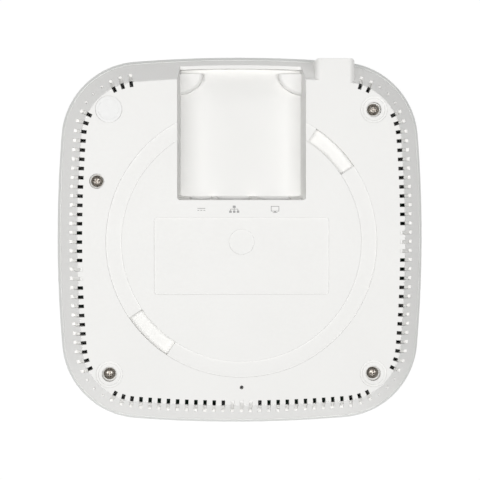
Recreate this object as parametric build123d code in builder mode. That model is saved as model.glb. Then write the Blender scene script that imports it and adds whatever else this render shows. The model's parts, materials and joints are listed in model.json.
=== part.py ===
from build123d import *
from math import atan, atan2, cos, degrees, radians, sin, sqrt
import os

# Ceiling access point: a square two-shell case with a board, jacks, antennas and heat spreader.
# The part lies on its front cover. +Z points out of the back plate, +Y towards the open end of
# the cable pocket, and the origin is the middle of the front face. Sizes are in millimetres.

# ---- case ---------------------------------------------------------------------------------
case_size = 190.0  # across the rim, both ways
case_height = 38.0
side_radius = 675.0  # gentle bow of each side
corner_radius = 41.2
parting_height = 18.0  # where the cover's rim meets the back housing
rim_ledge = 1.7  # the cover's rim stands out past the housing by this
slope_run = 9.8  # how far the housing's sides lean in on their way up to the plate
plate_edge_round = 0.6
fit_gap = 0.2  # between shells that plug into each other
cut_over = 2.0  # how far a cutter runs on past the surface that it opens

# ---- front cover --------------------------------------------------------------------------
cover_wall = 2.4
cover_edge_radius = 14.5
rim_lean = 1.4  # the cover's lip leans in by this, over its height
rim_lip = 3.2
boss_radius = 3.6

# ---- back housing -------------------------------------------------------------------------
plate_thickness = 2.2
slope_wall = 2.8  # measured level
tongue_depth = 2.5

# ---- case screws and the seal over one of them --------------------------------------------
corner_screw_inset = 27.6  # from the rim, both ways
side_screw_inset = 21.5
side_screw_y = 30.9
screw_hole_radius = 3.8
screw_seat_depth = 5.2  # below the plate
screw_seat_thickness = 2.0
screw_tube_wall = 1.6
screw_shank_radius = 1.5
screw_thread_length = 12.0  # below the seat
screw_head_radius = 2.95
screw_head_height = 2.1
screw_head_edge = 1.05  # height of a head's upright edge, under its dome
screw_dome_at = (2.2, 1.8)  # a point of the dome, from the head's middle and its underside
screw_tip_radius = 0.9
screw_tip_length = 1.0
cross_length = 2.9  # cross recess in a screw head, at its floor
cross_width = 0.2
cross_depth = 1.2
cross_lean = 18.0  # of its walls, in degrees
screw_gap = 0.2  # round a shank in a clearance hole
thread_gap = 0.05  # round a shank in its threaded hole
dish_radius = 6.8
dish_depth = 0.45
dish_step_radius = 5.6
dish_step_depth = 0.3
seal_radius = 6.6
seal_thickness = 0.45
seal_groove_radius = 5.4
seal_groove_width = 0.4
seal_groove_depth = 0.15

# ---- bracket ring and its two bayonet pockets ---------------------------------------------
ring_inner_radius = 61.1
ring_outer_radius = 69.1
ring_depth = 0.4
bayonet_start = 34.0  # degrees from +X; a second pocket lies half a turn on
bayonet_end = 56.5
bayonet_undercut = 8.0  # degrees that the slot runs on under the plate
bayonet_depth = 3.8
bayonet_skin = 1.6  # plate left over the undercut
bayonet_wall = 1.5
bayonet_wall_spare = 2.0  # degrees of wall past each end of a pocket

# ---- marks moulded into the plate ---------------------------------------------------------
label_width = 89.0
label_height = 39.0
label_middle_y = -7.2
label_depth = 0.3
label_corner = 1.5
gate_radius = 6.4
gate_depth = 0.25

# ---- vents: a hole in the plate's edge that runs on as a channel down the slope --------------
vent_pitch = 4.68
vent_width = 1.8
vent_hole_length = 3.1
vent_hole_lead = 0.6  # how far down the slope from the plate's edge a hole begins
vent_ledge = 1.5  # level floor at the channel's foot, into the slope
vent_ramp_rise = 4.1  # of a channel's floor, on the left and right sides
vent_reach = 9.5  # down the slope, from the plate
vent_last = 14  # vents run from -14 to +14 on each side
vent_blind_depth = 0.35
vents_blind_right = (-1, 0, 1)
vents_top = (-14, -13, 12, 13, 14)
vents_blind_left = (3, 4)
vents_blind_bottom = (-1, 0, 1)
dimple_width = 1.1
dimple_spacing = 9.6  # degrees between the three dimples at each corner

# ---- cable pocket -------------------------------------------------------------------------
pocket_width = 65.4
pocket_end_y = 21.4
pocket_draft = 5.5
pocket_corner = 1.3
pocket_wall = 1.6
pocket_floor_step = 0.8  # under the jacks
pocket_floor_thickness = 1.6
pocket_floor_run = 22.0  # the floor falls away over this run, next to the sill
pocket_floor_drop = 3.2
pocket_overrun = 12.0  # how far the cutter runs on past the rim
sill_inset = 6.2
sill_rise = 2.2  # over the floor
ear_length = 13.4
ear_depth = 11.0
ear_setback = 2.7
ear_rise = 3.0  # over the pocket's floor
ear_round = 2.2

# ---- lock block ---------------------------------------------------------------------------
lock_gap = 4.7  # from the cable pocket
lock_width = 20.2
lock_end_inset = 1.6
lock_length = 16.0
lock_round = 3.0
lock_corner = 2.2  # seen from above
lock_wall = 2.0
lock_slot_width = 7.0
lock_slot_height = 3.0
lock_slot_depth = 10.0  # below the plate
lock_plate_thickness = 1.2
lock_plate_width = 14.5
lock_plate_height = 11.0
lock_plate_lift = 2.0  # its middle, over the slot's
lock_stake_radius = 1.0
lock_stake_spread = 11.0
lock_stake_head = 0.6  # how far a stake stands out of the plate

# ---- main board ---------------------------------------------------------------------------
board_thickness = 1.6
board_margin_x = 31.0  # from the rim
board_margin_top = 35.0
board_margin_bottom = 29.0
board_corner = 6.0
board_tab_width = 28.0  # carries the reset switch
board_notch_gap = 1.0  # round the cable pocket
board_screw_radius = 1.25
board_screw_head_radius = 2.25
board_screw_head_height = 1.7
board_screw_round = 0.5
board_cross_length = 2.7
board_cross_width = 0.75
board_cross_depth = 1.0
board_screw_bite = 8.0  # into the housing's posts
board_screw_spare = 1.0  # hole past the screw's end
board_screw_inset_x = 6.0  # from the board's edge
board_screw_inset_y = 8.0
board_screw_inset_low = 20.0  # lower pair, in from the board's corner
board_screw_middle_y = -8.0
board_post_radius = 3.2

# ---- jacks --------------------------------------------------------------------------------
jack_height = 13.3
jack_width = 16.0
jack_depth = 18.0
jack_setback = 0.2  # front face behind the pocket's end wall, at the plate
jack_headroom = 0.5  # under the plate
port_gap = 0.4
lan_x = -3.8
console_x = 17.0
plug_width = 11.9
plug_height = 8.2
plug_depth = 14.0
plug_base = 2.2  # jack body under the plug's space
latch_width = 6.2
latch_height = 1.8
contact_count = 8
contact_pitch = 1.02
contact_width = 0.4
contact_thickness = 0.3
contact_rise = 2.6
contact_setback = 3.0  # from the jack's front to the wires
contact_bevel = 0.5
dc_x = -20.5
dc_width = 10.2
dc_height = 11.0
dc_depth = 14.0
dc_bore_radius = 3.15
dc_bore_depth = 9.5
dc_pin_radius = 1.0
dc_pin_setback = 1.0
dc_pin_round = 0.4

# ---- reset --------------------------------------------------------------------------------
reset_inset = 20.7
reset_hole_radius = 0.95
reset_tube_radius = 2.6
reset_tube_length = 3.0
switch_size = 6.2
switch_height = 3.6
stem_radius = 1.7
stem_length = 8.0
stem_travel = 0.3
stem_gap = 0.15
stem_socket_depth = 2.0
stem_chamfer = 0.3

# ---- heat spreader, shields, chips ----------------------------------------------------------
spreader_thickness = 1.5
spreader_inset = 1.5  # inside the board's edge
spacer_radius = 2.75
spacer_length = 4.4
shield_height = 3.4
shield_metal = 0.3
shield_corner = 1.0
pad_inset = 3.0
processor_at = (20.0, -20.0)
processor_size = (21.0, 21.0)
processor_height = 1.5
memory_at = [(42.0, -12.0), (42.0, -27.0)]
memory_size = (8.0, 11.0)
memory_height = 1.0
radio_size = (9.0, 9.0)
radio_height = 0.9
low_band_at = (-32.0, -15.0)
high_band_at = (-32.0, -42.0)
processor_shield_at = (28.5, -20.0)
processor_shield_size = (46.0, 32.0)
radio_shield_size = (28.0, 22.0)

# ---- parts on the board's upper side --------------------------------------------------------
lan_transformer_y = -8.0
lan_transformer_size = (16.0, 12.0)
lan_transformer_height = 6.0
lan_transformer_corner = 0.5
driver_y = -5.0
driver_size = (6.0, 5.0)
driver_height = 1.6
power_transformer_at = (-45.0, -30.0)
power_transformer_size = (17.0, 14.0)
power_transformer_height = 10.0
power_coil_size = (11.0, 18.0)
power_coil_height = 8.0
power_coil_corner = 2.0
inductors_at = [(-26.0, -10.0), (-26.0, -20.0), (-26.0, -30.0)]
inductor_size = (7.0, 7.0)
inductor_height = 4.0
inductor_corner = 1.2
capacitors_at = [(-46.0, 4.0), (-46.0, 14.0), (-46.0, 24.0)]
capacitor_radius = 4.0
capacitor_height = 10.0
capacitor_round = 0.6
flash_at = (30.0, -42.0)
flash_size = (8.0, 6.0)
flash_height = 1.75

# ---- antennas and their leads -------------------------------------------------------------
antenna_length = 44.0
antenna_width = 16.0
antenna_thickness = 1.0
antenna_corner = 1.0
antenna_height = 9.5
antenna_margin = 17.0  # middle of an antenna board, from the rim
antenna_right_y = 0.0
antenna_left_y = -14.0
antenna_low_x = 34.0
antenna_post_radius = 2.0
antenna_pin_radius = 0.9
antenna_pin_length = 1.7
antenna_pin_spread = 36.0
lead_radius = 0.6
lead_gap = 0.05
lead_bend = 3.6
lead_clearance = 4.0  # rise of a lead, outside the board's edge
plug_reach = 8.5  # from the rise to the coax plug's end
coax_plug_radius = 1.5
coax_plug_height = 1.3
coax_barrel_length = 1.2
coax_barrel_width = 1.8
coax_socket_radius = 1.0
coax_socket_height = 0.85
coax_foot_height = 0.35

# ---- status light -------------------------------------------------------------------------
led_y = -52.0
led_size = (2.0, 1.25)
led_height = 0.8
pipe_radius = 1.4
pipe_gap = 0.1
pipe_flange_radius = 2.6
pipe_flange_height = 1.0
pipe_recess = 0.2

# ---- worked out ---------------------------------------------------------------------------
half_size = case_size / 2
slope_rise = case_height - parting_height
slope_angle = degrees(atan(slope_run / slope_rise))
slope_rate = slope_run / slope_rise
plate_inset = rim_ledge + slope_run
plate_under = case_height - plate_thickness

side_offset = side_radius - half_size
corner_centre = (sqrt(2 * (side_radius - corner_radius) ** 2 - side_offset**2) - side_offset) / 2
corner_start = atan2(corner_centre, corner_centre + side_offset)  # radians

screw_seat = case_height - screw_seat_depth
screw_tube_end = screw_seat - screw_seat_thickness
screw_reach = half_size - corner_screw_inset
corner_screws = [(x * screw_reach, y * screw_reach) for x in (-1, 1) for y in (-1, 1)]
case_screws_at = corner_screws + [(side_screw_inset - half_size, side_screw_y)]
seal_at = (-screw_reach, screw_reach)
reset_y = reset_inset - half_size

board_top = plate_under - jack_headroom - jack_height
board_under = board_top - board_thickness
board_side = half_size - board_margin_x
board_high = half_size - board_margin_top
board_low = half_size - board_margin_bottom
board_screws_at = [
    (side * x, y)
    for side in (-1, 1)
    for x, y in (
        (board_side - board_screw_inset_x, board_high - board_screw_inset_y),
        (board_side - board_screw_inset_x, board_screw_middle_y),
        (board_side - board_screw_inset_low, -board_low + board_screw_inset_x),
    )
]
spreader_top = board_under - spacer_length
spreader_under = spreader_top - spreader_thickness
shield_under = board_under - shield_height
jack_front = pocket_end_y - jack_setback
ports = [
    (lan_x, jack_width, jack_height),
    (console_x, jack_width, jack_height),
    (dc_x, dc_width, dc_height),
]
vent_floor_height = case_height - vent_reach
pocket_floor_height = board_top - pocket_floor_step
sill_height = pocket_floor_height + sill_rise
lock_middle_x = pocket_width / 2 + lock_gap + lock_width / 2
lock_end_y = half_size - lock_end_inset
lock_slot_z = case_height - lock_slot_depth
lock_stakes_at = [
    (lock_middle_x + side * lock_stake_spread / 2, lock_slot_z + lock_slot_width / 2)
    for side in (-1, 1)
]
# Each antenna: its middle, and the turn that points its long side's normal out of the case.
antenna_reach = half_size - antenna_margin
antennas = {
    "right": ((antenna_reach, antenna_right_y), 0),
    "left": ((-antenna_reach, antenna_left_y), 180),
    "low_left": ((-antenna_low_x, -antenna_reach), 270),
    "low_right": ((antenna_low_x, -antenna_reach), 270),
}
antenna_pins_at = [
    Vector(*middle) + Vector(0, end * antenna_pin_spread / 2).rotate(Axis.Z, turn)
    for middle, turn in antennas.values()
    for end in (-1, 1)
]


def case_outline(inset):
    """The rounded square of the case, moved in by inset: four bowed sides and four corners."""
    radius = corner_radius - inset
    near, far = corner_centre + radius * sin(corner_start), corner_centre + radius * cos(corner_start)
    middle = corner_centre + radius * sin(radians(45))
    with BuildSketch() as shape:
        with BuildLine():
            for turn in (0, 90, 180, 270):
                side = [(far, -near), (half_size - inset, 0), (far, near)]
                corner = [(far, near), (middle, middle), (near, far)]
                ThreePointArc(*[Vector(*point).rotate(Axis.Z, turn) for point in side])
                ThreePointArc(*[Vector(*point).rotate(Axis.Z, turn) for point in corner])
        make_face()
    return shape.sketch


def outline_place(distance, turn):
    """A place on the rim, at a distance along the plate's edge from the middle of a side.

    Its X points into the case. Turn is 0 for the right side, 90 for the top, and so on.
    """
    edge_radius = corner_radius - plate_inset
    side_edge_radius = side_radius - plate_inset
    straight = side_edge_radius * corner_start
    way = 1 if distance > 0 else -1
    if abs(distance) <= straight:
        angle = distance / side_edge_radius
        point = Vector(-side_offset + side_radius * cos(angle), side_radius * sin(angle))
    else:
        angle = way * (corner_start + (abs(distance) - straight) / edge_radius)
        centre = Vector(corner_centre, way * corner_centre)
        point = centre + Vector(corner_radius * cos(angle), corner_radius * sin(angle))
    return Location(point.rotate(Axis.Z, turn), (0, 0, turn + degrees(angle) + 180))


def corner_place(angle, turn):
    """A place on the rim at an angle round a corner, with its X pointing into the case."""
    centre = Vector(corner_centre, corner_centre)
    point = centre + Vector(corner_radius, 0).rotate(Axis.Z, angle)
    return Location(point.rotate(Axis.Z, turn), (0, 0, turn + angle + 180))


def ring_sector(inner, outer, start, end):
    """A sector of a flat ring, between two angles in degrees."""
    with BuildSketch() as shape:
        with BuildLine():
            rim = CenterArc((0, 0), outer, start, end - start)
            hub = CenterArc((0, 0), inner, start, end - start)
            Line(rim @ 0, hub @ 0)
            Line(rim @ 1, hub @ 1)
        make_face()
    return shape.sketch


def board_outline(inset, tab):
    """The main board's outline, moved in by inset, notched round the cable pocket."""
    notch_x = pocket_width / 2 + pocket_wall + board_notch_gap + inset
    notch_y = pocket_end_y - pocket_wall - board_notch_gap - inset
    width = 2 * (board_side - inset)
    top, bottom = board_high - inset, -board_low + inset
    with BuildSketch() as shape:
        with Locations((0, (top + bottom) / 2)):
            RectangleRounded(width, top - bottom, board_corner - inset)
        with Locations((0, notch_y)):
            Rectangle(2 * notch_x, top, align=(Align.CENTER, Align.MIN), mode=Mode.SUBTRACT)
        if tab:
            tab_end = reset_y - switch_size / 2 - board_notch_gap
            with Locations((0, tab_end)):
                Rectangle(
                    board_tab_width, bottom - tab_end + board_corner, align=(Align.CENTER, Align.MIN)
                )
    return shape.sketch


os.makedirs("parts", exist_ok=True)

# ============================================================ cutters for the back housing
# Vent cutters lie with X into the case, and their heights are the case's own.
wall_at_floor = rim_ledge + (vent_floor_height - parting_height) * slope_rate
vent_foot = wall_at_floor + vent_ledge
hole_start = plate_inset - vent_hole_lead
hole_end = hole_start + vent_hole_length
hole_floor = parting_height + (hole_start - rim_ledge - slope_wall) / slope_rate - fit_gap
cut_top = case_height + cut_over


def vent_space(ramp_top):
    """One vent: a ledge, a ramp that ends at a height below the plate, and a hole."""
    with BuildPart() as space:
        with BuildSketch(Plane.XZ):
            with BuildLine():
                Polyline(
                    (0, vent_floor_height),
                    (vent_foot, vent_floor_height),
                    (hole_start, ramp_top),
                    (hole_start, hole_floor),
                    (hole_end, hole_floor),
                    (hole_end, cut_top),
                    (0, cut_top),
                    close=True,
                )
            make_face()
        extrude(amount=vent_width / 2, both=True)
    return space.part


side_cutter = vent_space(vent_floor_height + vent_ramp_rise)
end_cutter = vent_space(vent_floor_height + (hole_start - vent_foot) / slope_rate)

with BuildPart() as blind_cutter:
    blind_floor = case_height - vent_blind_depth
    with BuildSketch(Plane.XZ):
        with BuildLine():
            Polyline(
                (0, vent_floor_height),
                (vent_foot, vent_floor_height),
                (vent_foot + (blind_floor - vent_floor_height) * slope_rate, blind_floor),
                (hole_end, blind_floor),
                (hole_end, cut_top),
                (0, cut_top),
                close=True,
            )
        make_face()
    extrude(amount=vent_width / 2, both=True)

with BuildPart() as dimple_cutter:
    with Locations((0, 0, vent_floor_height)):
        Box(vent_foot, dimple_width, cut_top, align=(Align.MIN, Align.CENTER, Align.MIN))

every_vent = range(-vent_last, vent_last + 1)
vent_sides = {
    0: (every_vent, vents_blind_right),
    90: (vents_top, ()),
    180: (every_vent, vents_blind_left),
    270: (every_vent, vents_blind_bottom),
}
side_places = []
end_places = []
blind_places = []
for turn, (numbers, blind) in vent_sides.items():
    open_places = side_places if turn in (0, 180) else end_places
    for number in numbers:
        place = outline_place(number * vent_pitch, turn)
        (blind_places if number in blind else open_places).append(place)
dimple_places = [
    corner_place(45 + step * dimple_spacing, turn) for turn in (0, 90, 180, 270) for step in (-1, 0, 1)
]

# The pocket's space: drafted walls, a floor that falls away, and a sill at the open end.
pocket_reach = half_size + pocket_overrun
sill_y = half_size - sill_inset
floor_bend_y = sill_y - pocket_floor_run

with BuildPart() as pocket_space:
    with BuildSketch(Plane.XY.offset(case_height)):
        with Locations((0, pocket_end_y)):
            Rectangle(pocket_width, pocket_reach - pocket_end_y, align=(Align.CENTER, Align.MIN))
    extrude(amount=-(case_height - parting_height), taper=pocket_draft)
    upright = pocket_space.edges().filter_by(lambda edge: abs(edge.tangent_at(0.5).Z) > 0.9)
    fillet(upright.sort_by(Axis.Y)[:2], pocket_corner)
    with BuildSketch(Plane.YZ.offset(-pocket_width)):
        with BuildLine():
            flat = Line((0, pocket_floor_height), (floor_bend_y, pocket_floor_height))
            fall = TangentArc(
                flat @ 1, (sill_y, pocket_floor_height - pocket_floor_drop), tangent=(1, 0)
            )
            Polyline(
                fall @ 1,
                (pocket_reach, pocket_floor_height - pocket_floor_drop),
                (pocket_reach, 0),
                (0, 0),
                flat @ 0,
            )
        make_face()
    extrude(amount=2 * pocket_width, mode=Mode.SUBTRACT)
    with BuildSketch():
        Rectangle(3 * case_size, 3 * case_size)
        add(case_outline(sill_inset), mode=Mode.SUBTRACT)
    extrude(amount=sill_height, mode=Mode.SUBTRACT)

# ============================================================ back housing
with BuildPart() as slope_body:
    with BuildSketch(Plane.XY.offset(parting_height)):
        add(case_outline(rim_ledge))
    extrude(amount=slope_rise, taper=slope_angle)
    fillet(slope_body.faces().sort_by(Axis.Z)[-1].edges(), plate_edge_round)

with BuildPart() as tub_bounds:
    add(slope_body.part)
    with BuildSketch(Plane.XY.offset(parting_height)):
        add(case_outline(cover_wall + fit_gap))
    extrude(amount=-parting_height)

with BuildPart() as tub:
    tub_back = pocket_end_y - pocket_wall
    tub_under = pocket_floor_height - pocket_floor_thickness
    with BuildSketch(Plane.YZ.offset(-(pocket_width / 2 + pocket_wall))):
        with BuildLine():
            base = Line((tub_back, tub_under), (floor_bend_y, tub_under))
            fall = TangentArc(base @ 1, (sill_y, tub_under - pocket_floor_drop), tangent=(1, 0))
            Polyline(
                fall @ 1,
                (pocket_reach, tub_under - pocket_floor_drop),
                (pocket_reach, case_height),
                (tub_back, case_height),
                base @ 0,
            )
        make_face()
    extrude(amount=pocket_width + 2 * pocket_wall)
    add(tub_bounds.part, mode=Mode.INTERSECT)

with BuildPart() as ears:
    ear_y = half_size - sill_inset - ear_setback
    with BuildSketch(Plane.XY.offset(tub_under)):
        for side in (-1, 1):
            with Locations((side * pocket_width / 2, ear_y)):
                Ellipse(ear_length, ear_depth)
        with Locations((0, ear_y)):
            Rectangle(
                pocket_width, 2 * ear_depth, align=(Align.CENTER, Align.MAX), mode=Mode.INTERSECT
            )
    extrude(amount=pocket_floor_height + ear_rise - tub_under)
    crowns = ears.faces().filter_by(Axis.Z).group_by(Axis.Z)[-1].edges()
    fillet(crowns.filter_by(GeomType.LINE, reverse=True), ear_round)

with BuildPart() as lock_block:
    with BuildSketch(Plane.XZ.offset(-lock_end_y)) as lock_end:
        with Locations((lock_middle_x, parting_height)):
            Rectangle(lock_width, slope_rise, align=(Align.CENTER, Align.MIN))
        fillet(lock_end.vertices().group_by(Axis.Z)[-1], lock_round)
    extrude(amount=lock_length)
    with BuildSketch(Plane.XY.offset(parting_height)) as lock_plan:
        with Locations((lock_middle_x, lock_end_y - lock_length)):
            Rectangle(lock_width, lock_length, align=(Align.CENTER, Align.MIN))
        fillet(lock_plan.vertices().group_by(Axis.Y)[-1], lock_corner)
    extrude(amount=slope_rise, mode=Mode.INTERSECT)

with BuildPart() as lock_room:
    room_x = lock_width - 2 * lock_wall
    room_y = lock_end_y - lock_wall
    with BuildSketch(Plane.XZ.offset(-room_y)):
        with Locations((lock_middle_x, parting_height)):
            Rectangle(room_x, slope_rise - plate_thickness, align=(Align.CENTER, Align.MIN))
    extrude(amount=lock_length)

with BuildPart() as back_housing:
    add(slope_body.part)
    with BuildSketch(Plane.XY.offset(parting_height)):
        add(case_outline(cover_wall + fit_gap))
    extrude(amount=-tongue_depth)
    add(lock_block.part)
    # hollow
    with BuildSketch(Plane.XY.offset(parting_height)):
        add(case_outline(rim_ledge + slope_wall))
    extrude(amount=-tongue_depth, mode=Mode.SUBTRACT)
    with BuildSketch(Plane.XY.offset(parting_height)):
        add(case_outline(rim_ledge + slope_wall))
    extrude(amount=plate_under - parting_height, taper=slope_angle, mode=Mode.SUBTRACT)
    add(lock_room.part, mode=Mode.SUBTRACT)
    # cable pocket, with walls of its own and two quarter-round ears at its open corners
    add(tub.part)
    add(pocket_space.part, mode=Mode.SUBTRACT)
    add(ears.part)
    # tubes down to the cover's bosses, posts for the board, a tube for the reset pin
    with BuildSketch(Plane.XY.offset(screw_tube_end)):
        with Locations(*case_screws_at):
            Circle(screw_hole_radius + screw_tube_wall)
    extrude(until=Until.NEXT)
    with BuildSketch(Plane.XY.offset(board_top)):
        with Locations(*board_screws_at):
            Circle(board_post_radius)
    extrude(amount=plate_under - board_top)
    with BuildSketch(Plane.XY.offset(plate_under - reset_tube_length)):
        with Locations((0, reset_y)):
            Circle(reset_tube_radius)
    extrude(amount=reset_tube_length)
    # walls round the bayonet pockets
    with BuildSketch(Plane.XY.offset(case_height - bayonet_depth - bayonet_wall)):
        for turn in (0, 180):
            add(
                ring_sector(
                    ring_inner_radius - bayonet_wall,
                    ring_outer_radius + bayonet_wall,
                    turn + bayonet_start - bayonet_undercut - bayonet_wall_spare,
                    turn + bayonet_end + bayonet_wall_spare,
                )
            )
    extrude(amount=bayonet_depth + bayonet_wall - plate_thickness)
    add(pocket_space.part, mode=Mode.SUBTRACT)
    add(ears.part)
    # marks and recesses in the plate
    with BuildSketch(Plane.XY.offset(case_height)):
        Circle(ring_outer_radius)
        Circle(ring_inner_radius, mode=Mode.SUBTRACT)
    extrude(amount=-ring_depth, mode=Mode.SUBTRACT)
    with BuildSketch(Plane.XY.offset(case_height)):
        with Locations((0, label_middle_y)):
            RectangleRounded(label_width, label_height, label_corner)
    extrude(amount=-label_depth, mode=Mode.SUBTRACT)
    with BuildSketch(Plane.XY.offset(case_height)):
        Circle(gate_radius)
    extrude(amount=-label_depth - gate_depth, mode=Mode.SUBTRACT)
    # bayonet pockets, each running on under the plate as a slot for the bracket's tab
    for turn in (0, 180):
        with BuildSketch(Plane.XY.offset(case_height)):
            add(
                ring_sector(
                    ring_inner_radius, ring_outer_radius, turn + bayonet_start, turn + bayonet_end
                )
            )
        extrude(amount=-bayonet_depth, mode=Mode.SUBTRACT)
        with BuildSketch(Plane.XY.offset(case_height - bayonet_depth)):
            add(
                ring_sector(
                    ring_inner_radius,
                    ring_outer_radius,
                    turn + bayonet_start - bayonet_undercut,
                    turn + bayonet_start,
                )
            )
        extrude(amount=bayonet_depth - bayonet_skin, mode=Mode.SUBTRACT)
    # screw holes
    with BuildSketch(Plane.XY.offset(case_height)):
        with Locations(*corner_screws):
            Circle(dish_radius)
    extrude(amount=-dish_depth, mode=Mode.SUBTRACT)
    with BuildSketch(Plane.XY.offset(case_height)):
        with Locations(*corner_screws):
            Circle(dish_step_radius)
    extrude(amount=-dish_depth - dish_step_depth, mode=Mode.SUBTRACT)
    with BuildSketch(Plane.XY.offset(case_height)):
        with Locations(*case_screws_at):
            Circle(screw_hole_radius)
    extrude(amount=-screw_seat_depth, mode=Mode.SUBTRACT)
    with BuildSketch(Plane.XY.offset(screw_seat)):
        with Locations(*case_screws_at):
            Circle(screw_shank_radius + screw_gap)
    extrude(amount=-screw_seat_thickness, mode=Mode.SUBTRACT)
    with BuildSketch(Plane.XY.offset(board_top)):
        with Locations(*board_screws_at):
            Circle(board_screw_radius + thread_gap)
    extrude(amount=board_screw_bite + board_screw_spare, mode=Mode.SUBTRACT)
    with BuildSketch(Plane.XY.offset(case_height)):
        with Locations((0, reset_y)):
            Circle(reset_hole_radius)
    extrude(amount=-reset_tube_length - plate_thickness, mode=Mode.SUBTRACT)
    # ports in the pocket's end wall
    with BuildSketch(Plane.XZ.offset(-tub_back)):
        for x, width, height in ports:
            with Locations((x, board_top - port_gap)):
                Rectangle(
                    width + 2 * port_gap, height + 2 * port_gap, align=(Align.CENTER, Align.MIN)
                )
    extrude(amount=-3 * pocket_wall, mode=Mode.SUBTRACT)
    # lock slot, and the stakes that hold the lock plate
    with BuildSketch(Plane.XZ.offset(-lock_end_y)):
        with Locations((lock_middle_x, lock_slot_z)):
            Rectangle(lock_slot_width, lock_slot_height)
    extrude(amount=lock_wall, mode=Mode.SUBTRACT)
    with BuildSketch(Plane.XZ.offset(-room_y)):
        with Locations(*lock_stakes_at):
            Circle(lock_stake_radius)
    extrude(amount=lock_plate_thickness + lock_stake_head)
    # vents
    with Locations(*side_places):
        add(side_cutter, mode=Mode.SUBTRACT)
    with Locations(*end_places):
        add(end_cutter, mode=Mode.SUBTRACT)
    with Locations(*blind_places):
        add(blind_cutter.part, mode=Mode.SUBTRACT)
    with Locations(*dimple_places):
        add(dimple_cutter.part, mode=Mode.SUBTRACT)
back_housing.part.label = "back_housing"

# ============================================================ front cover
with BuildPart() as cover_room:
    with BuildSketch(Plane.XY.offset(cover_wall)):
        add(case_outline(cover_wall))
    extrude(amount=parting_height)
    fillet(cover_room.faces().sort_by(Axis.Z)[0].edges(), cover_edge_radius - cover_wall)

with BuildPart() as front_cover:
    with BuildSketch():
        add(case_outline(0))
    extrude(amount=parting_height - rim_lip)
    fillet(front_cover.faces().sort_by(Axis.Z)[0].edges(), cover_edge_radius)
    with BuildSketch(Plane.XY.offset(parting_height - rim_lip)):
        add(case_outline(0))
    extrude(amount=rim_lip, taper=degrees(atan(rim_lean / rim_lip)))
    add(cover_room.part, mode=Mode.SUBTRACT)
    # bosses for the case screws, posts and pins for the antennas
    with BuildSketch(Plane.XY.offset(cover_wall)):
        with Locations(*case_screws_at):
            Circle(boss_radius)
    extrude(amount=screw_tube_end - cover_wall)
    with BuildSketch(Plane.XY.offset(screw_tube_end)):
        with Locations(*case_screws_at):
            Circle(screw_shank_radius + thread_gap)
    extrude(amount=-screw_thread_length, mode=Mode.SUBTRACT)
    with BuildSketch(Plane.XY.offset(cover_wall)):
        with Locations(*antenna_pins_at):
            Circle(antenna_post_radius)
    extrude(amount=antenna_height - cover_wall)
    with BuildSketch(Plane.XY.offset(antenna_height)):
        with Locations(*antenna_pins_at):
            Circle(antenna_pin_radius)
    extrude(amount=antenna_pin_length)
    with BuildSketch():
        with Locations((0, led_y)):
            Circle(pipe_radius + pipe_gap)
    extrude(amount=cover_wall, mode=Mode.SUBTRACT)
front_cover.part.label = "front_cover"

# ============================================================ screws and the seal
with BuildPart() as case_screw:
    with BuildSketch(Plane.XZ):
        with BuildLine():
            tip = screw_tip_length - screw_thread_length - screw_seat_thickness
            dome = ThreePointArc(
                (screw_head_radius, screw_head_edge), screw_dome_at, (0, screw_head_height)
            )
            Polyline(
                dome @ 1,
                (0, tip),
                (screw_tip_radius, tip),
                (screw_shank_radius, tip + screw_tip_length),
                (screw_shank_radius, 0),
                (screw_head_radius, 0),
                dome @ 0,
            )
        make_face()
    revolve(axis=Axis.Z)
    for slot in ((cross_length, cross_width), (cross_width, cross_length)):
        with BuildSketch(Plane.XY.offset(screw_head_height - cross_depth)):
            Rectangle(*slot)
        extrude(amount=2 * cross_depth, taper=-cross_lean, mode=Mode.SUBTRACT)

with BuildPart() as case_screws:
    with Locations(*[(x, y, screw_seat) for x, y in case_screws_at]):
        add(case_screw.part)
case_screws.part.label = "case_screws"

with BuildPart() as screw_seal:
    with BuildSketch(Plane.XY.offset(case_height - dish_depth)):
        with Locations(seal_at):
            Circle(seal_radius)
    extrude(amount=seal_thickness)
    with BuildSketch(Plane.XY.offset(case_height - dish_depth + seal_thickness)):
        with Locations(seal_at):
            Circle(seal_groove_radius)
            Circle(seal_groove_radius - seal_groove_width, mode=Mode.SUBTRACT)
    extrude(amount=-seal_groove_depth, mode=Mode.SUBTRACT)
screw_seal.part.label = "screw_seal"

with BuildPart() as lock_plate:
    with BuildSketch(Plane.XZ.offset(-room_y)):
        with Locations((lock_middle_x, lock_slot_z + lock_plate_lift)):
            Rectangle(lock_plate_width, lock_plate_height)
        with Locations((lock_middle_x, lock_slot_z)):
            Rectangle(
                lock_slot_width + 2 * fit_gap, lock_slot_height + 2 * fit_gap, mode=Mode.SUBTRACT
            )
        with Locations(*lock_stakes_at):
            Circle(lock_stake_radius + thread_gap, mode=Mode.SUBTRACT)
    extrude(amount=lock_plate_thickness)
lock_plate.part.label = "lock_plate"

# ============================================================ main board
with BuildPart() as main_board:
    with BuildSketch(Plane.XY.offset(board_under)):
        add(board_outline(0, tab=True))
        with Locations(*board_screws_at):
            Circle(board_screw_radius + screw_gap, mode=Mode.SUBTRACT)
    extrude(amount=board_thickness)
main_board.part.label = "main_board"

with BuildPart() as heat_spreader:
    with BuildSketch(Plane.XY.offset(spreader_under)):
        add(board_outline(spreader_inset, tab=False))
        with Locations(*board_screws_at):
            Circle(board_screw_radius + screw_gap, mode=Mode.SUBTRACT)
        with Locations((0, led_y)):
            Circle(pipe_flange_radius, mode=Mode.SUBTRACT)
    extrude(amount=spreader_thickness)
heat_spreader.part.label = "heat_spreader"

with BuildPart() as board_spacers:
    with BuildSketch(Plane.XY.offset(spreader_top)):
        with Locations(*board_screws_at):
            Circle(spacer_radius)
            Circle(board_screw_radius + screw_gap, mode=Mode.SUBTRACT)
    extrude(amount=spacer_length)
board_spacers.part.label = "board_spacers"

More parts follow.
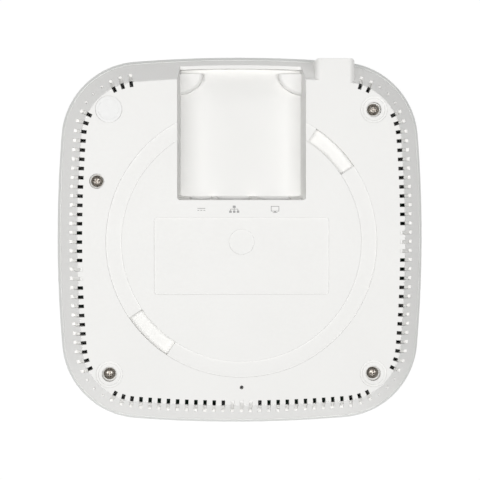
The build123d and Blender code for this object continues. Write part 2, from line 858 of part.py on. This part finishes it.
with BuildPart() as board_screws:
    with BuildSketch(Plane.XY.offset(spreader_under)):
        with Locations(*board_screws_at):
            Circle(board_screw_head_radius)
    extrude(amount=-board_screw_head_height)
    heads = board_screws.faces().sort_by(Axis.Z)[: len(board_screws_at)]
    fillet(heads.edges(), board_screw_round)
    with BuildSketch(Plane.XY.offset(spreader_under - board_screw_head_height)):
        with Locations(*board_screws_at):
            Rectangle(board_cross_length, board_cross_width)
            Rectangle(board_cross_width, board_cross_length)
    extrude(amount=board_cross_depth, mode=Mode.SUBTRACT)
    with BuildSketch(Plane.XY.offset(spreader_under)):
        with Locations(*board_screws_at):
            Circle(board_screw_radius)
    extrude(amount=board_top + board_screw_bite - spreader_under)
board_screws.part.label = "board_screws"

# ============================================================ jacks
def rj45_jack(x):
    """A jack body with the plug's space and its latch groove open at the front, and a pin slot."""
    with BuildPart() as jack:
        with BuildSketch(Plane.XZ.offset(-jack_front)):
            with Locations((x, board_top)):
                Rectangle(jack_width, jack_height, align=(Align.CENTER, Align.MIN))
        extrude(amount=jack_depth)
        with BuildSketch(Plane.XZ.offset(-jack_front)):
            with Locations((x, board_top + plug_base)):
                Rectangle(plug_width, plug_height, align=(Align.CENTER, Align.MIN))
            with Locations((x, board_top + plug_base + plug_height)):
                Rectangle(latch_width, latch_height, align=(Align.CENTER, Align.MIN))
        extrude(amount=plug_depth, mode=Mode.SUBTRACT)
    return jack.part


def rj45_contacts(x):
    """Eight sprung wires that rise from the floor of a jack's plug space towards its back."""
    floor = board_top + plug_base
    back = jack_front - plug_depth
    front = jack_front - contact_setback
    with BuildPart() as contacts:
        for number in range(contact_count):
            place = x + (number - (contact_count - 1) / 2) * contact_pitch
            with BuildSketch(Plane.YZ.offset(place - contact_width / 2)):
                with BuildLine():
                    Polyline(
                        (front, floor),
                        (back, floor + contact_rise),
                        (back, floor + contact_rise + contact_thickness),
                        (front - contact_bevel, floor + contact_thickness),
                        (front, floor + contact_thickness),
                        close=True,
                    )
                make_face()
            extrude(amount=contact_width)
    return contacts.part


lan_jack = rj45_jack(lan_x)
lan_jack.label = "lan_jack"
console_jack = rj45_jack(console_x)
console_jack.label = "console_jack"
lan_contacts = rj45_contacts(lan_x)
lan_contacts.label = "lan_contacts"
console_contacts = rj45_contacts(console_x)
console_contacts.label = "console_contacts"

dc_z = board_top + dc_height / 2
with BuildPart() as dc_jack:
    with BuildSketch(Plane.XZ.offset(-jack_front)):
        with Locations((dc_x, dc_z)):
            Rectangle(dc_width, dc_height)
    extrude(amount=dc_depth)
    with BuildSketch(Plane.XZ.offset(-jack_front)):
        with Locations((dc_x, dc_z)):
            Circle(dc_bore_radius)
    extrude(amount=dc_bore_depth, mode=Mode.SUBTRACT)
dc_jack.part.label = "dc_jack"

with BuildPart() as dc_pin:
    with BuildSketch(Plane.XZ.offset(-jack_front + dc_pin_setback)):
        with Locations((dc_x, dc_z)):
            Circle(dc_pin_radius)
    extrude(amount=dc_bore_depth - dc_pin_setback)
    fillet(dc_pin.faces().sort_by(Axis.Y)[-1].edges(), dc_pin_round)
dc_pin.part.label = "dc_pin"

# ============================================================ reset switch and its stem
with BuildPart() as reset_switch:
    with BuildSketch(Plane.XY.offset(board_top)):
        with Locations((0, reset_y)):
            Rectangle(switch_size, switch_size)
    extrude(amount=switch_height)
    with BuildSketch(Plane.XY.offset(board_top + switch_height)):
        with Locations((0, reset_y)):
            Circle(stem_radius + stem_gap)
    extrude(amount=-stem_socket_depth, mode=Mode.SUBTRACT)
reset_switch.part.label = "reset_switch"

stem_foot = board_top + switch_height - stem_socket_depth + stem_travel + stem_gap
with BuildPart() as reset_button:
    with BuildSketch(Plane.XY.offset(stem_foot)):
        with Locations((0, reset_y)):
            Circle(stem_radius)
    extrude(amount=stem_length)
    chamfer(reset_button.faces().sort_by(Axis.Z)[-1].edges(), stem_chamfer)
reset_button.part.label = "reset_button"

# ============================================================ board parts
def blocks(middles, size, base, height, rounding=0.0):
    """Moulded packages that stand on a level, or hang under it where their height is negative."""
    with BuildPart() as packages:
        with BuildSketch(Plane.XY.offset(base)):
            with Locations(*middles):
                Rectangle(*size)
        extrude(amount=height)
        if rounding:
            fillet(packages.edges().filter_by(Axis.Z), rounding)
    return packages.part


def shield_can(middle, size):
    """A folded metal can, open towards the board that it hangs under."""
    with BuildPart() as can:
        with BuildSketch(Plane.XY.offset(board_under)):
            with Locations(middle):
                Rectangle(*size)
        extrude(amount=-shield_height)
        fillet(can.edges().filter_by(Axis.Z), shield_corner)
        offset(
            amount=-shield_metal, openings=can.faces().sort_by(Axis.Z)[-1], mode=Mode.REPLACE
        )
    return can.part


processor = blocks([processor_at], processor_size, board_under, -processor_height)
processor.label = "processor"
memory_chips = blocks(memory_at, memory_size, board_under, -memory_height)
memory_chips.label = "memory_chips"
low_band_radio = blocks([low_band_at], radio_size, board_under, -radio_height)
low_band_radio.label = "low_band_radio"
high_band_radio = blocks([high_band_at], radio_size, board_under, -radio_height)
high_band_radio.label = "high_band_radio"
processor_shield = shield_can(processor_shield_at, processor_shield_size)
processor_shield.label = "processor_shield"
low_band_shield = shield_can(low_band_at, radio_shield_size)
low_band_shield.label = "low_band_shield"
high_band_shield = shield_can(high_band_at, radio_shield_size)
high_band_shield.label = "high_band_shield"

shields = [
    (processor_shield_at, processor_shield_size, processor_at, processor_size, processor_height),
    (low_band_at, radio_shield_size, low_band_at, radio_size, radio_height),
    (high_band_at, radio_shield_size, high_band_at, radio_size, radio_height),
]
with BuildPart() as thermal_pads:
    for shield_at, shield_size, chip_at, chip_size, chip_height in shields:
        with BuildSketch(Plane.XY.offset(spreader_top)):
            with Locations(shield_at):
                Rectangle(shield_size[0] - 2 * pad_inset, shield_size[1] - 2 * pad_inset)
        extrude(amount=shield_under - spreader_top)
        with BuildSketch(Plane.XY.offset(shield_under + shield_metal)):
            with Locations(chip_at):
                Rectangle(*chip_size)
        extrude(amount=shield_height - shield_metal - chip_height)
thermal_pads.part.label = "thermal_pads"

lan_transformer = blocks(
    [(lan_x, lan_transformer_y)],
    lan_transformer_size,
    board_top,
    lan_transformer_height,
    lan_transformer_corner,
)
lan_transformer.label = "lan_transformer"
console_driver = blocks([(console_x, driver_y)], driver_size, board_top, driver_height)
console_driver.label = "console_driver"
flash_chip = blocks([flash_at], flash_size, board_top, flash_height)
flash_chip.label = "flash_chip"
power_inductors = blocks(
    inductors_at, inductor_size, board_top, inductor_height, inductor_corner
)
power_inductors.label = "power_inductors"

with BuildPart() as power_transformer:
    with BuildSketch(Plane.XY.offset(board_top)):
        with Locations(power_transformer_at):
            Rectangle(*power_transformer_size)
    extrude(amount=power_transformer_height)
    with BuildSketch(Plane.XY.offset(board_top)):
        with Locations(power_transformer_at):
            RectangleRounded(*power_coil_size, power_coil_corner)
    extrude(amount=power_coil_height)
power_transformer.part.label = "power_transformer"

with BuildPart() as bulk_capacitors:
    with BuildSketch(Plane.XY.offset(board_top)):
        with Locations(*capacitors_at):
            Circle(capacitor_radius)
    extrude(amount=capacitor_height)
    tops = bulk_capacitors.faces().filter_by(Axis.Z).group_by(Axis.Z)[-1]
    fillet(tops.edges(), capacitor_round)
bulk_capacitors.part.label = "bulk_capacitors"

# ============================================================ status light
status_led = blocks([(0, led_y)], led_size, board_under, -led_height)
status_led.label = "status_led"

with BuildPart() as light_pipe:
    with BuildSketch(Plane.XY.offset(pipe_recess)):
        with Locations((0, led_y)):
            Circle(pipe_radius)
    extrude(amount=board_under - led_height - pipe_gap - pipe_recess)
    with BuildSketch(Plane.XY.offset(cover_wall)):
        with Locations((0, led_y)):
            Circle(pipe_flange_radius)
    extrude(amount=pipe_flange_height)
light_pipe.part.label = "light_pipe"

# ============================================================ antennas and their coax leads
# Each is drawn as the right-hand antenna, then turned about the case's middle line.
lead_level = antenna_height + antenna_thickness + lead_radius + lead_gap
plug_under = board_top + coax_socket_height


def lead_ends(middle, turn):
    """A lead's corner points: off the antenna, up past the board's edge and in to its plug."""
    inward = Vector(-1, 0).rotate(Axis.Z, turn)
    start = Vector(*middle)
    edge = board_side if turn in (0, 180) else board_low
    to_rise = antenna_reach - edge - lead_clearance
    foot = start + inward * to_rise
    end = foot + inward * plug_reach
    return [
        Vector(start.X, start.Y, lead_level),
        Vector(foot.X, foot.Y, lead_level),
        Vector(foot.X, foot.Y, plug_under + coax_plug_height / 2),
        Vector(end.X, end.Y, plug_under + coax_plug_height / 2),
    ]


antenna_parts = []
coax_plugs_at = []
for name, (middle, turn) in antennas.items():
    with BuildPart() as antenna:
        with BuildSketch(Plane.XY.offset(antenna_height)):
            with Locations(Location((*middle, 0), (0, 0, turn))):
                RectangleRounded(antenna_width, antenna_length, antenna_corner)
                with Locations((0, antenna_pin_spread / 2), (0, -antenna_pin_spread / 2)):
                    Circle(antenna_pin_radius + pipe_gap, mode=Mode.SUBTRACT)
        extrude(amount=antenna_thickness)
    antenna.part.label = f"antenna_{name}"
    antenna_parts.append(antenna.part)

    points = lead_ends(middle, turn)
    with BuildPart() as coax_lead:
        with BuildLine() as route:
            FilletPolyline(*points, radius=lead_bend)
        with BuildSketch(Plane(origin=route.line @ 0, z_dir=route.line % 0)):
            Circle(lead_radius)
        sweep()
    coax_lead.part.label = f"coax_lead_{name}"
    antenna_parts.append(coax_lead.part)
    coax_plugs_at.append(Location((points[3].X, points[3].Y, 0), (0, 0, turn)))

# At a plug's place, X points back along the lead, and the plug's axis is further in.
plug_axis = -(coax_barrel_length + coax_plug_radius)
with BuildPart() as coax_plugs:
    with BuildSketch(Plane.XY.offset(plug_under)):
        with Locations(*coax_plugs_at):
            with Locations((plug_axis, 0)):
                Circle(coax_plug_radius)
            Rectangle(-plug_axis, coax_barrel_width, align=(Align.MAX, Align.CENTER))
    extrude(amount=coax_plug_height)
coax_plugs.part.label = "coax_plugs"

with BuildPart() as coax_sockets:
    for height, radius in (
        (coax_socket_height, coax_socket_radius),
        (coax_foot_height, coax_plug_radius),
    ):
        with BuildSketch(Plane.XY.offset(board_top)):
            with Locations(*coax_plugs_at):
                with Locations((plug_axis, 0)):
                    Circle(radius)
        extrude(amount=height)
coax_sockets.part.label = "coax_sockets"

# ============================================================ one file for each sub-part
pieces = [
    back_housing.part,
    front_cover.part,
    case_screws.part,
    screw_seal.part,
    lock_plate.part,
    main_board.part,
    heat_spreader.part,
    board_spacers.part,
    board_screws.part,
    lan_jack,
    lan_contacts,
    console_jack,
    console_contacts,
    dc_jack.part,
    dc_pin.part,
    reset_switch.part,
    reset_button.part,
    processor,
    memory_chips,
    low_band_radio,
    high_band_radio,
    processor_shield,
    low_band_shield,
    high_band_shield,
    thermal_pads.part,
    lan_transformer,
    console_driver,
    flash_chip,
    power_inductors,
    power_transformer.part,
    bulk_capacitors.part,
    status_led,
    light_pipe.part,
    coax_plugs.part,
    coax_sockets.part,
    *antenna_parts,
]
for piece in pieces:
    export_step(piece, f"parts/{piece.label}.step")
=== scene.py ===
"""Looks for the ceiling access point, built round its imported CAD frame. Lengths are in metres."""

import bpy
import bmesh
import json
from mathutils import Matrix, Vector


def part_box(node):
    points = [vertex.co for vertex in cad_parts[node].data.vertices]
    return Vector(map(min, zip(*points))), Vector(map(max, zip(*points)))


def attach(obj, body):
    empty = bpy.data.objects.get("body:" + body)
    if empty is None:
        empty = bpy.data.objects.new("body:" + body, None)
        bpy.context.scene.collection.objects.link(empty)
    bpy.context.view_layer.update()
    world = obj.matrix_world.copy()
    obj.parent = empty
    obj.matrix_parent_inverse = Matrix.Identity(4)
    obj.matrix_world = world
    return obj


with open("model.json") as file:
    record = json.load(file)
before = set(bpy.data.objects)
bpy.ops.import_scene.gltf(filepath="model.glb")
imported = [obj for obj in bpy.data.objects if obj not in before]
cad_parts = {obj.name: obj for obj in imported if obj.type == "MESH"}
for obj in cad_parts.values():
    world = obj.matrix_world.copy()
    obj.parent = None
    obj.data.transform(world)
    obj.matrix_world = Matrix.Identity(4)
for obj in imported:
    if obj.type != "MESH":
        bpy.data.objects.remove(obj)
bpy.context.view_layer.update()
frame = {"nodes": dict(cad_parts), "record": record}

MM = 0.001
PLATE_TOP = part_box("back_housing")[1][2]

# A noise texture keeps mostly inside this range, which the ramps stretch to the whole blend.
NOISE_LOW, NOISE_HIGH = 0.3, 0.7
PLASTIC_IOR = 1.49
BEVEL_SAMPLES = 6


# ---------------------------------------------------------------- materials
def new_material(name):
    """A material with a Principled shader, its node tree and its links."""
    material = bpy.data.materials.new(name)
    material.use_nodes = True
    tree = material.node_tree
    shader = next(node for node in tree.nodes if node.type == "BSDF_PRINCIPLED")
    return material, tree, shader


def noise(tree, size, detail=3.0, roughness=0.5, stretch=(1, 1, 1)):
    """A noise texture in the row frame whose features are about that size."""
    place = tree.nodes.new("ShaderNodeTexCoord")
    mapping = tree.nodes.new("ShaderNodeMapping")
    mapping.inputs["Scale"].default_value = stretch
    texture = tree.nodes.new("ShaderNodeTexNoise")
    texture.inputs["Scale"].default_value = 1 / size
    texture.inputs["Detail"].default_value = detail
    texture.inputs["Roughness"].default_value = roughness
    tree.links.new(place.outputs["Object"], mapping.inputs["Vector"])
    tree.links.new(mapping.outputs["Vector"], texture.inputs["Vector"])
    return texture.outputs["Fac"]


def spread(tree, fac, low, high):
    """Maps a texture's middle range to the range from low to high."""
    node = tree.nodes.new("ShaderNodeMapRange")
    node.inputs["From Min"].default_value = NOISE_LOW
    node.inputs["From Max"].default_value = NOISE_HIGH
    node.inputs["To Min"].default_value = low
    node.inputs["To Max"].default_value = high
    tree.links.new(fac, node.inputs["Value"])
    return node.outputs["Result"]


def blend_colours(tree, fac, first, second):
    """A colour that runs from first to second with fac."""
    ramp = tree.nodes.new("ShaderNodeValToRGB")
    ramp.color_ramp.elements[0].position = NOISE_LOW
    ramp.color_ramp.elements[0].color = (*first, 1)
    ramp.color_ramp.elements[1].position = NOISE_HIGH
    ramp.color_ramp.elements[1].color = (*second, 1)
    tree.links.new(fac, ramp.inputs["Fac"])
    return ramp.outputs["Color"]


def bumped(tree, shader, fac, depth, edge=0.0):
    """Raises the surface by a texture, over edges that are rounded for shading."""
    bump = tree.nodes.new("ShaderNodeBump")
    bump.inputs["Strength"].default_value = 1.0
    bump.inputs["Distance"].default_value = depth
    tree.links.new(fac, bump.inputs["Height"])
    if edge:
        bevel = tree.nodes.new("ShaderNodeBevel")
        bevel.samples = BEVEL_SAMPLES
        bevel.inputs["Radius"].default_value = edge
        tree.links.new(bevel.outputs["Normal"], bump.inputs["Normal"])
    tree.links.new(bump.outputs["Normal"], shader.inputs["Normal"])


def moulded(name, colour, shade, roughness, grain, depth, edge):
    """Moulded plastic: a spark-eroded grain, a slow drift of tone and uneven gloss."""
    material, tree, shader = new_material(name)
    tone = noise(tree, 0.035, detail=2)
    tree.links.new(blend_colours(tree, tone, colour, shade), shader.inputs["Base Color"])
    gloss = noise(tree, grain * 2.5, detail=2)
    tree.links.new(spread(tree, gloss, roughness - 0.04, roughness + 0.05), shader.inputs["Roughness"])
    bumped(tree, shader, noise(tree, grain, detail=4, roughness=0.6), depth, edge)
    shader.inputs["IOR"].default_value = PLASTIC_IOR
    return material


def metal(name, colour, shade, roughness, grain, depth, stretch=(1, 1, 1), edge=0.0001):
    """Bare or plated metal with fine scratches or grain and patchy tarnish."""
    material, tree, shader = new_material(name)
    patches = noise(tree, 0.0025, detail=4)
    tree.links.new(blend_colours(tree, patches, colour, shade), shader.inputs["Base Color"])
    shader.inputs["Metallic"].default_value = 1.0
    scratches = noise(tree, grain, detail=5, roughness=0.65, stretch=stretch)
    tree.links.new(
        spread(tree, scratches, roughness - 0.07, roughness + 0.1), shader.inputs["Roughness"]
    )
    bumped(tree, shader, scratches, depth, edge)
    return material


def circuit_board(name):
    """Green solder mask over copper tracks that show as slightly lighter, raised lines."""
    material, tree, shader = new_material(name)
    place = tree.nodes.new("ShaderNodeTexCoord")
    tracks = tree.nodes.new("ShaderNodeTexBrick")
    tracks.inputs["Scale"].default_value = 260
    tracks.inputs["Mortar Size"].default_value = 0.03
    tracks.inputs["Color1"].default_value = (0, 0, 0, 1)
    tracks.inputs["Color2"].default_value = (0.25, 0.25, 0.25, 1)
    tracks.inputs["Mortar"].default_value = (1, 1, 1, 1)
    tree.links.new(place.outputs["Object"], tracks.inputs["Vector"])
    ramp = tree.nodes.new("ShaderNodeValToRGB")
    ramp.color_ramp.elements[0].color = (0.006, 0.060, 0.026, 1)
    ramp.color_ramp.elements[1].color = (0.018, 0.130, 0.060, 1)
    tree.links.new(tracks.outputs["Color"], ramp.inputs["Fac"])
    tree.links.new(ramp.outputs["Color"], shader.inputs["Base Color"])
    shader.inputs["Roughness"].default_value = 0.3
    bumped(tree, shader, tracks.outputs["Color"], 0.00002)
    return material


def clear_plastic(name):
    """Polished acrylic of the light pipe."""
    material, tree, shader = new_material(name)
    cloud = noise(tree, 0.002, detail=2)
    tree.links.new(
        blend_colours(tree, cloud, (0.93, 0.95, 0.96), (0.86, 0.90, 0.92)), shader.inputs["Base Color"]
    )
    shader.inputs["Roughness"].default_value = 0.12
    shader.inputs["Transmission Weight"].default_value = 0.75
    shader.inputs["IOR"].default_value = PLASTIC_IOR
    bumped(tree, shader, cloud, 0.00001)
    return material


WHITE = (0.915, 0.910, 0.890)
WHITE_SHADE = (0.900, 0.895, 0.875)
COVER = (0.82, 0.83, 0.81)
COVER_SHADE = (0.805, 0.815, 0.79)

MATERIALS = {
    "housing_plastic": moulded("housing_plastic", WHITE, WHITE_SHADE, 0.48, 0.00045, 0.000012, 0.0003),
    "cover_plastic": moulded("cover_plastic", COVER, COVER_SHADE, 0.45, 0.00045, 0.000012, 0.0003),
    "seal_film": moulded(
        "seal_film", (0.87, 0.87, 0.86), (0.85, 0.85, 0.84), 0.38, 0.0008, 0.000006, 0.0001
    ),
    "jack_plastic": moulded(
        "jack_plastic", (0.018, 0.018, 0.020), (0.026, 0.026, 0.028), 0.42, 0.0003, 0.000008, 0.0002
    ),
    "chip_plastic": moulded(
        "chip_plastic", (0.020, 0.020, 0.022), (0.030, 0.030, 0.032), 0.55, 0.0002, 0.000006, 0.0001
    ),
    "button_plastic": moulded(
        "button_plastic", (0.030, 0.030, 0.032), (0.040, 0.040, 0.042), 0.40, 0.0003, 0.000006, 0.0001
    ),
    "coax_jacket": moulded(
        "coax_jacket", (0.020, 0.020, 0.022), (0.030, 0.030, 0.032), 0.50, 0.0004, 0.000006, 0.0001
    ),
    "thermal_rubber": moulded(
        "thermal_rubber", (0.25, 0.32, 0.45), (0.28, 0.35, 0.48), 0.75, 0.0006, 0.00002, 0.0001
    ),
    "ferrite": moulded(
        "ferrite", (0.035, 0.034, 0.032), (0.055, 0.053, 0.050), 0.65, 0.0004, 0.00002, 0.0002
    ),
    "led_package": moulded(
        "led_package", (0.85, 0.78, 0.42), (0.80, 0.72, 0.36), 0.30, 0.0002, 0.000003, 0.0001
    ),
    "nickel_steel": metal("nickel_steel", (0.47, 0.44, 0.40), (0.37, 0.34, 0.31), 0.34, 0.00025, 0.000004),
    "lock_steel": metal("lock_steel", (0.42, 0.42, 0.42), (0.36, 0.36, 0.36), 0.4, 0.0003, 0.000005),
    "aluminium_sheet": metal(
        "aluminium_sheet", (0.70, 0.71, 0.72), (0.62, 0.63, 0.64), 0.38, 0.0006, 0.000005, (1, 12, 1)
    ),
    "brass": metal("brass", (0.72, 0.52, 0.22), (0.60, 0.42, 0.17), 0.3, 0.0003, 0.000004),
    "gold_contact": metal("gold_contact", (0.85, 0.62, 0.26), (0.78, 0.55, 0.22), 0.22, 0.0002, 0.000002),
    "tinned_steel": metal("tinned_steel", (0.66, 0.66, 0.65), (0.58, 0.58, 0.57), 0.32, 0.0008, 0.000006),
    "capacitor_can": metal("capacitor_can", (0.60, 0.61, 0.63), (0.52, 0.53, 0.55), 0.35, 0.0004, 0.000004),
    "circuit_board": circuit_board("circuit_board"),
    "clear_plastic": clear_plastic("clear_plastic"),
}


def dress_nodes():
    """Gives each CAD node the material of its slot in the record."""
    for entry in frame["record"]["subparts"]:
        node = frame["nodes"][entry["node"]]
        material = MATERIALS[entry["material_slot"]]
        node.data.materials.clear()
        node.data.materials.append(material)


# ---------------------------------------------------------------- port signs printed on the plate
INK = moulded("grey_ink", (0.36, 0.36, 0.355), (0.40, 0.40, 0.395), 0.6, 0.0003, 0.000002, 0.0)
PRINT_LIFT = 0.01 * MM
PRINT_HEIGHT = 0.03 * MM
SIGN_SETBACK = 4.6 * MM  # from the jacks' front to the signs' middle line
LINE = 0.30

# Each sign is made of bars: the middle, width and height of each, in millimetres.
DC_SIGN = [(0, 0.5, 4.0, LINE)] + [(step * 1.5, -0.5, 1.0, LINE) for step in (-1, 0, 1)]
NETWORK_SIGN = [
    *[(step * 1.9, -1.2, 1.3, 1.1) for step in (-1, 0, 1)],
    (0, 1.3, 1.5, 1.2),
    (0, 0.1, 4.1, LINE),
    (0, 0.47, LINE, 0.44),
    *[(step * 1.9, -0.35, LINE, 0.6) for step in (-1, 0, 1)],
]
SCREEN_SIGN = [
    (0, 1.5, 4.2, LINE),
    (0, -0.9, 4.2, LINE),
    (-1.95, 0.3, LINE, 2.1),
    (1.95, 0.3, LINE, 2.1),
    (0, -1.25, 0.8, 0.4),
    (0, -1.6, 2.4, LINE),
]


def bar(x, y, width, height):
    """A rectangle about a middle."""
    w, h = width / 2, height / 2
    return [(x - w, y - h), (x + w, y - h), (x + w, y + h), (x - w, y + h)]


def printed(name, outlines):
    """Ink on the plate: closed outlines, each a list of points in the row frame."""
    mesh = bmesh.new()
    for outline in outlines:
        low = [mesh.verts.new((x, y, PLATE_TOP + PRINT_LIFT)) for x, y in outline]
        high = [mesh.verts.new((x, y, PLATE_TOP + PRINT_LIFT + PRINT_HEIGHT)) for x, y in outline]
        mesh.faces.new(list(reversed(low)))
        mesh.faces.new(high)
        for here in range(len(outline)):
            there = (here + 1) % len(outline)
            mesh.faces.new((low[here], low[there], high[there], high[here]))
    bmesh.ops.recalc_face_normals(mesh, faces=mesh.faces)
    data = bpy.data.meshes.new(name)
    mesh.to_mesh(data)
    mesh.free()
    piece = bpy.data.objects.new(name, data)
    bpy.context.scene.collection.objects.link(piece)
    piece.data.materials.append(INK)
    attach(piece, "case")


def port_signs():
    """Small generic signs over the ports: direct current, a network of three boxes, a screen."""
    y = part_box("lan_jack")[1][1] - SIGN_SETBACK
    for name, jack, bars in (
        ("icon_dc", "dc_jack", DC_SIGN),
        ("icon_network", "lan_jack", NETWORK_SIGN),
        ("icon_screen", "console_jack", SCREEN_SIGN),
    ):
        low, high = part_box(jack)
        x = (low[0] + high[0]) / 2
        printed(name, [bar(x + dx * MM, y + dy * MM, w * MM, h * MM) for dx, dy, w, h in bars])


# ---------------------------------------------------------------- stage, light and camera
def aimed(obj, target):
    """Turns a light or camera at a target, with +Y up in its picture."""
    back = (obj.location - target).normalized()
    right = Vector((0, 1, 0)).cross(back).normalized()
    up = back.cross(right)
    obj.matrix_world = Matrix.Translation(obj.location) @ Matrix(
        (right, up, back)
    ).transposed().to_4x4()


FLOOR_SIZE = 6.0
FLOOR_GLOW = 0.9  # a backdrop lit from behind, as pale as the photograph's
KEY_PLACE, KEY_WIDTH, KEY_HEIGHT, KEY_POWER = Vector((-0.10, 0.02, 1.5)), 2.0, 0.4, 23.3
FILL_PLACE, FILL_WIDTH, FILL_HEIGHT, FILL_POWER = Vector((-0.15, -1.6, 0.24)), 1.6, 0.14, 6.5
SURROUND = 0.04
LENS = 135.3
SENSOR = 36.0
EYE = Vector((-0.030, 0.033, PLATE_TOP + 0.917))
LOOKED_AT = Vector((-0.00085, 0.0010, PLATE_TOP))


def stage_floor():
    """A large white floor that the part lies on."""
    bpy.ops.mesh.primitive_plane_add(size=FLOOR_SIZE)
    floor = bpy.context.object
    floor.name = "floor"
    material, tree, shader = new_material("floor_white")
    tone = noise(tree, 0.4, detail=1)
    tree.links.new(
        blend_colours(tree, tone, (0.12, 0.12, 0.12), (0.13, 0.13, 0.13)), shader.inputs["Base Color"]
    )
    shader.inputs["Roughness"].default_value = 0.9
    shader.inputs["Emission Color"].default_value = (1, 1, 1, 1)
    shader.inputs["Emission Strength"].default_value = FLOOR_GLOW
    floor.data.materials.append(material)


def area_light(name, place, target, width, height, power):
    """A softbox of a width and a height in its own picture."""
    light = bpy.data.lights.new(name, "AREA")
    light.shape = "RECTANGLE"
    light.size = width
    light.size_y = height
    light.energy = power
    obj = bpy.data.objects.new(name, light)
    bpy.context.scene.collection.objects.link(obj)
    obj.location = place
    obj.visible_camera = False
    aimed(obj, target)


def lights():
    """A wide softbox above the plate, a low strip towards its lower edge, and a faint surround."""
    area_light("key", KEY_PLACE, Vector((0, 0, 0)), KEY_WIDTH, KEY_HEIGHT, KEY_POWER)
    area_light("fill", FILL_PLACE, Vector((0, 0, 0.02)), FILL_WIDTH, FILL_HEIGHT, FILL_POWER)
    world = bpy.data.worlds.new("surround")
    bpy.context.scene.world = world
    world.use_nodes = True
    background = world.node_tree.nodes["Background"]
    background.inputs["Color"].default_value = (1.0, 1.0, 1.0, 1)
    background.inputs["Strength"].default_value = SURROUND


def camera():
    """Looks down on the back plate from about 0.9 m, from a little above and left of its middle."""
    data = bpy.data.cameras.new("camera")
    data.sensor_width = SENSOR
    data.lens = LENS
    eye = bpy.data.objects.new("camera", data)
    bpy.context.scene.collection.objects.link(eye)
    eye.location = EYE
    aimed(eye, LOOKED_AT)
    bpy.context.scene.camera = eye


dress_nodes()
port_signs()
stage_floor()
lights()
camera()
bpy.context.scene.view_settings.view_transform = "Standard"
